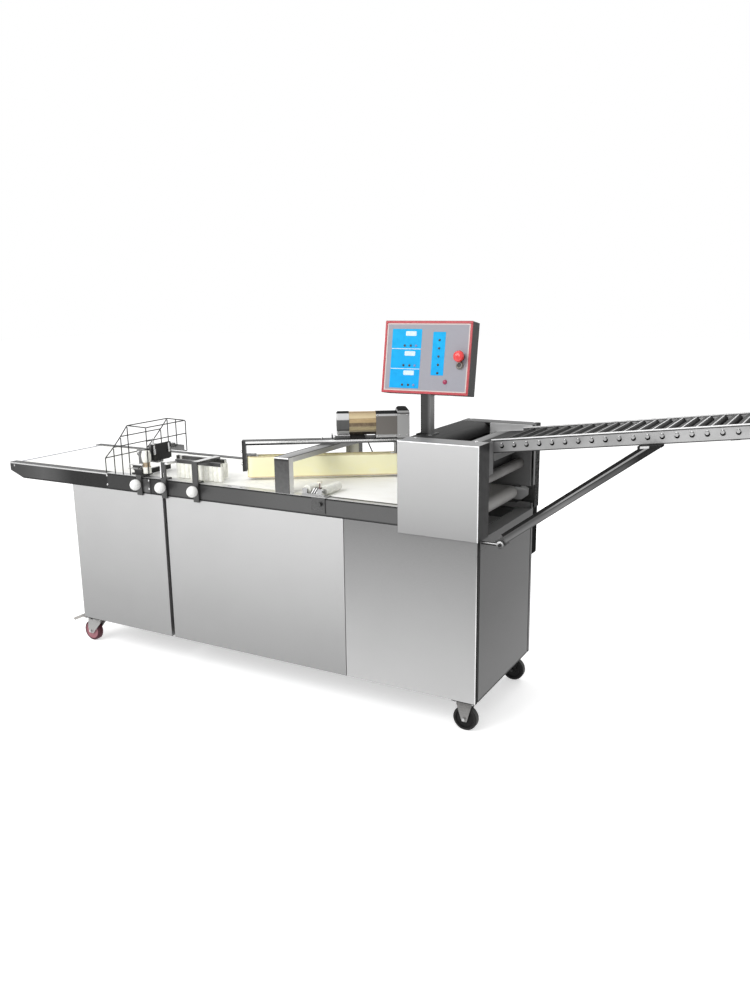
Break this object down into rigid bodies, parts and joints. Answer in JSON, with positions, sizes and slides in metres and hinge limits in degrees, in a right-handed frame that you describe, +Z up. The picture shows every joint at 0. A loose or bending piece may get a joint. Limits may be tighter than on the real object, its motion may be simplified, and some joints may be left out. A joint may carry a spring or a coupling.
{
  "type": "bun making machine",
  "caption": "Long free-standing bun making machine: stainless cabinet on castors, belt conveyor, slanted rolling belt, cutter with wire guard, sheeting head and roller in-feed.",
  "frame": {"origin": "middle of the machine's footprint on the floor", "axes": "+X along the machine towards the roller in-feed, +Y from the front to the back, +Z up"},
  "size_m": [3.4292, 0.728, 1.5731],
  "materials": {
    "frame_steel": "satin",
    "panel_steel": "brushed",
    "rail_steel": "satin",
    "bright_steel": "polished",
    "white_belt": "smooth",
    "yellow_belt": "smooth",
    "grey_paint": "satin",
    "gold_aluminium": "anodised",
    "grey_aluminium": "satin",
    "black_rubber": "matte",
    "white_nylon": "satin",
    "white_plastic": "gloss",
    "dark_wire": "satin",
    "zinc_steel": "zinc plated",
    "drum_aluminium": "turned",
    "roller_steel": "ground",
    "infeed_steel": "satin",
    "black_paint": "satin",
    "red_plastic": "gloss",
    "red_wheel": "smooth",
    "black_wheel": "matte"
  },
  "bodies": {
    "frame": {"base_frame": "frame_steel", "front_panels": "panel_steel", "cabinet_panels": "panel_steel", "conveyor_frame": "rail_steel", "conveyor_belt": "white_belt", "head_front_housing": "panel_steel", "head_rear_housing": "panel_steel", "head_frame": "rail_steel", "control_post": "rail_steel", "control_box": "grey_paint", "infeed_frame": "rail_steel", "gantry": "rail_steel", "rolling_beam": "bright_steel", "rolling_belt": "yellow_belt", "motor_body": "gold_aluminium", "rolling_gearbox": "grey_aluminium", "motor_cable": "black_rubber", "rail_clamps": "rail_steel", "nylon_guides": "white_nylon", "cutter_stand": "rail_steel", "guard_cage": "dark_wire", "castor_mounts": "zinc_steel"},
    "nose_roller": {"nose_roller": "drum_aluminium"},
    "tail_drum": {"tail_drum": "drum_aluminium"},
    "sheeting_roller": {"sheeting_roller": "roller_steel"},
    "pinch_roller": {"pinch_roller": "roller_steel"},
    "rolling_drive_drum": {"rolling_drive_drum": "drum_aluminium"},
    "rolling_idler_drum": {"rolling_idler_drum": "drum_aluminium"},
    "press_roller_left": {"press_roller_left": "white_nylon"},
    "press_roller_right": {"press_roller_right": "white_nylon"},
    "clamp_knob_left": {"clamp_knob_left": "white_plastic"},
    "clamp_knob_middle": {"clamp_knob_middle": "white_plastic"},
    "clamp_knob_right": {"clamp_knob_right": "white_plastic"},
    "cutter_blade": {"cutter_blade": "black_paint"},
    "emergency_stop": {"emergency_stop": "red_plastic"},
    "front_swivel_fork": {"front_swivel_fork": "zinc_steel"},
    "rear_swivel_fork": {"rear_swivel_fork": "zinc_steel"},
    "front_brake_pedal": {"front_brake_pedal": "zinc_steel"},
    "front_left_wheel": {"front_left_wheel": "red_wheel"},
    "rear_left_wheel": {"rear_left_wheel": "red_wheel"},
    "front_right_wheel": {"front_right_wheel": "black_wheel"},
    "rear_right_wheel": {"rear_right_wheel": "black_wheel"},
    "infeed_roller_01": {"infeed_roller_01": "infeed_steel"},
    "infeed_roller_02": {"infeed_roller_02": "infeed_steel"},
    "infeed_roller_03": {"infeed_roller_03": "infeed_steel"},
    "infeed_roller_04": {"infeed_roller_04": "infeed_steel"},
    "infeed_roller_05": {"infeed_roller_05": "infeed_steel"},
    "infeed_roller_06": {"infeed_roller_06": "infeed_steel"},
    "infeed_roller_07": {"infeed_roller_07": "infeed_steel"},
    "infeed_roller_08": {"infeed_roller_08": "infeed_steel"},
    "infeed_roller_09": {"infeed_roller_09": "infeed_steel"},
    "infeed_roller_10": {"infeed_roller_10": "infeed_steel"},
    "infeed_roller_11": {"infeed_roller_11": "infeed_steel"},
    "infeed_roller_12": {"infeed_roller_12": "infeed_steel"},
    "infeed_roller_13": {"infeed_roller_13": "infeed_steel"},
    "infeed_roller_14": {"infeed_roller_14": "infeed_steel"},
    "infeed_roller_15": {"infeed_roller_15": "infeed_steel"},
    "infeed_roller_16": {"infeed_roller_16": "infeed_steel"},
    "infeed_roller_17": {"infeed_roller_17": "infeed_steel"},
    "infeed_roller_18": {"infeed_roller_18": "infeed_steel"}
  },
  "joints": [
    {"name": "infeed_roller_01_turn", "type": "hinge", "parent": "frame", "child": "infeed_roller_01", "pos_m": [0.85241, 0.0115, 1.124], "axis": [0, 1, 0], "continuous": true},
    {"name": "infeed_roller_02_turn", "type": "hinge", "parent": "frame", "child": "infeed_roller_02", "pos_m": [0.90023, 0.0115, 1.13004], "axis": [0, 1, 0], "continuous": true},
    {"name": "infeed_roller_03_turn", "type": "hinge", "parent": "frame", "child": "infeed_roller_03", "pos_m": [0.94805, 0.0115, 1.13608], "axis": [0, 1, 0], "continuous": true},
    {"name": "infeed_roller_04_turn", "type": "hinge", "parent": "frame", "child": "infeed_roller_04", "pos_m": [0.99587, 0.0115, 1.14212], "axis": [0, 1, 0], "continuous": true},
    {"name": "infeed_roller_05_turn", "type": "hinge", "parent": "frame", "child": "infeed_roller_05", "pos_m": [1.04369, 0.0115, 1.14816], "axis": [0, 1, 0], "continuous": true},
    {"name": "infeed_roller_06_turn", "type": "hinge", "parent": "frame", "child": "infeed_roller_06", "pos_m": [1.09151, 0.0115, 1.1542], "axis": [0, 1, 0], "continuous": true},
    {"name": "infeed_roller_07_turn", "type": "hinge", "parent": "frame", "child": "infeed_roller_07", "pos_m": [1.13933, 0.0115, 1.16025], "axis": [0, 1, 0], "continuous": true},
    {"name": "infeed_roller_08_turn", "type": "hinge", "parent": "frame", "child": "infeed_roller_08", "pos_m": [1.18715, 0.0115, 1.16629], "axis": [0, 1, 0], "continuous": true},
    {"name": "infeed_roller_09_turn", "type": "hinge", "parent": "frame", "child": "infeed_roller_09", "pos_m": [1.23497, 0.0115, 1.17233], "axis": [0, 1, 0], "continuous": true},
    {"name": "infeed_roller_10_turn", "type": "hinge", "parent": "frame", "child": "infeed_roller_10", "pos_m": [1.28279, 0.0115, 1.17837], "axis": [0, 1, 0], "continuous": true},
    {"name": "infeed_roller_11_turn", "type": "hinge", "parent": "frame", "child": "infeed_roller_11", "pos_m": [1.33061, 0.0115, 1.18441], "axis": [0, 1, 0], "continuous": true},
    {"name": "infeed_roller_12_turn", "type": "hinge", "parent": "frame", "child": "infeed_roller_12", "pos_m": [1.37843, 0.0115, 1.19045], "axis": [0, 1, 0], "continuous": true},
    {"name": "infeed_roller_13_turn", "type": "hinge", "parent": "frame", "child": "infeed_roller_13", "pos_m": [1.42625, 0.0115, 1.19649], "axis": [0, 1, 0], "continuous": true},
    {"name": "infeed_roller_14_turn", "type": "hinge", "parent": "frame", "child": "infeed_roller_14", "pos_m": [1.47407, 0.0115, 1.20253], "axis": [0, 1, 0], "continuous": true},
    {"name": "infeed_roller_15_turn", "type": "hinge", "parent": "frame", "child": "infeed_roller_15", "pos_m": [1.52189, 0.0115, 1.20857], "axis": [0, 1, 0], "continuous": true},
    {"name": "infeed_roller_16_turn", "type": "hinge", "parent": "frame", "child": "infeed_roller_16", "pos_m": [1.56971, 0.0115, 1.21462], "axis": [0, 1, 0], "continuous": true},
    {"name": "infeed_roller_17_turn", "type": "hinge", "parent": "frame", "child": "infeed_roller_17", "pos_m": [1.61753, 0.0115, 1.22066], "axis": [0, 1, 0], "continuous": true},
    {"name": "infeed_roller_18_turn", "type": "hinge", "parent": "frame", "child": "infeed_roller_18", "pos_m": [1.66535, 0.0115, 1.2267], "axis": [0, 1, 0], "continuous": true},
    {"name": "tail_drum_turn", "type": "hinge", "parent": "frame", "child": "tail_drum", "pos_m": [0.73341, 0.004, 0.849], "axis": [0, 1, 0], "continuous": true},
    {"name": "nose_roller_turn", "type": "hinge", "parent": "frame", "child": "nose_roller", "pos_m": [-1.68559, 0.004, 0.863], "axis": [0, 1, 0], "continuous": true},
    {"name": "sheeting_roller_turn", "type": "hinge", "parent": "frame", "child": "sheeting_roller", "pos_m": [0.65671, 0.004, 0.984], "axis": [0, 1, 0], "continuous": true},
    {"name": "pinch_roller_turn", "type": "hinge", "parent": "frame", "child": "pinch_roller", "pos_m": [0.76441, 0.004, 0.976], "axis": [0, 1, 0], "continuous": true},
    {"name": "rolling_drive_drum_turn", "type": "hinge", "parent": "frame", "child": "rolling_drive_drum", "pos_m": [0.19633, 0.23513, 0.94], "axis": [0, 0, 1], "continuous": true},
    {"name": "rolling_idler_drum_turn", "type": "hinge", "parent": "frame", "child": "rolling_idler_drum", "pos_m": [-0.33617, -0.10804, 0.94], "axis": [0, 0, 1], "continuous": true},
    {"name": "press_roller_left_turn", "type": "hinge", "parent": "frame", "child": "press_roller_left", "pos_m": [0.05641, -0.239, 0.9005], "axis": [0, 1, 0], "continuous": true},
    {"name": "press_roller_right_turn", "type": "hinge", "parent": "frame", "child": "press_roller_right", "pos_m": [0.12741, -0.198, 0.9005], "axis": [0, 1, 0], "continuous": true},
    {"name": "clamp_knob_left_turn", "type": "hinge", "parent": "frame", "child": "clamp_knob_left", "pos_m": [-0.83159, -0.32, 0.85], "axis": [0, 1, 0], "range_deg": [0, 720]},
    {"name": "clamp_knob_middle_turn", "type": "hinge", "parent": "frame", "child": "clamp_knob_middle", "pos_m": [-0.68359, -0.32, 0.85], "axis": [0, 1, 0], "range_deg": [0, 720]},
    {"name": "clamp_knob_right_turn", "type": "hinge", "parent": "frame", "child": "clamp_knob_right", "pos_m": [-0.49959, -0.32, 0.85], "axis": [0, 1, 0], "range_deg": [0, 720]},
    {"name": "cutter_stroke", "type": "slide", "parent": "frame", "child": "cutter_blade", "axis": [0, 0, 1], "range_m": [-0.062, 0]},
    {"name": "emergency_stop_press", "type": "slide", "parent": "frame", "child": "emergency_stop", "axis": [0, 0.9863, -0.165], "range_m": [0, 0.005]},
    {"name": "front_swivel_fork_turn", "type": "hinge", "parent": "frame", "child": "front_swivel_fork", "pos_m": [-1.23059, -0.26, 0.118], "axis": [0, 0, 1], "continuous": true},
    {"name": "front_left_wheel_turn", "type": "hinge", "parent": "front_swivel_fork", "child": "front_left_wheel", "pos_m": [-1.26559, -0.26, 0.05], "axis": [0, 1, 0], "continuous": true},
    {"name": "front_right_wheel_turn", "type": "hinge", "parent": "frame", "child": "front_right_wheel", "pos_m": [0.76441, -0.26, 0.05], "axis": [0, 1, 0], "continuous": true},
    {"name": "rear_swivel_fork_turn", "type": "hinge", "parent": "frame", "child": "rear_swivel_fork", "pos_m": [-1.23059, 0.268, 0.118], "axis": [0, 0, 1], "continuous": true},
    {"name": "rear_left_wheel_turn", "type": "hinge", "parent": "rear_swivel_fork", "child": "rear_left_wheel", "pos_m": [-1.26559, 0.268, 0.05], "axis": [0, 1, 0], "continuous": true},
    {"name": "rear_right_wheel_turn", "type": "hinge", "parent": "frame", "child": "rear_right_wheel", "pos_m": [0.76441, 0.268, 0.05], "axis": [0, 1, 0], "continuous": true},
    {"name": "front_brake_pedal_turn", "type": "hinge", "parent": "front_swivel_fork", "child": "front_brake_pedal", "pos_m": [-1.27159, -0.26, 0.1165], "axis": [0, -1, 0], "range_deg": [0, 15]}
  ],
  "couplings": [
    {"joint": "pinch_roller_turn", "follows": "sheeting_roller_turn", "ratio": -3},
    {"joint": "nose_roller_turn", "follows": "tail_drum_turn", "ratio": 2.1667},
    {"joint": "rolling_idler_drum_turn", "follows": "rolling_drive_drum_turn", "ratio": 1}
  ]
}
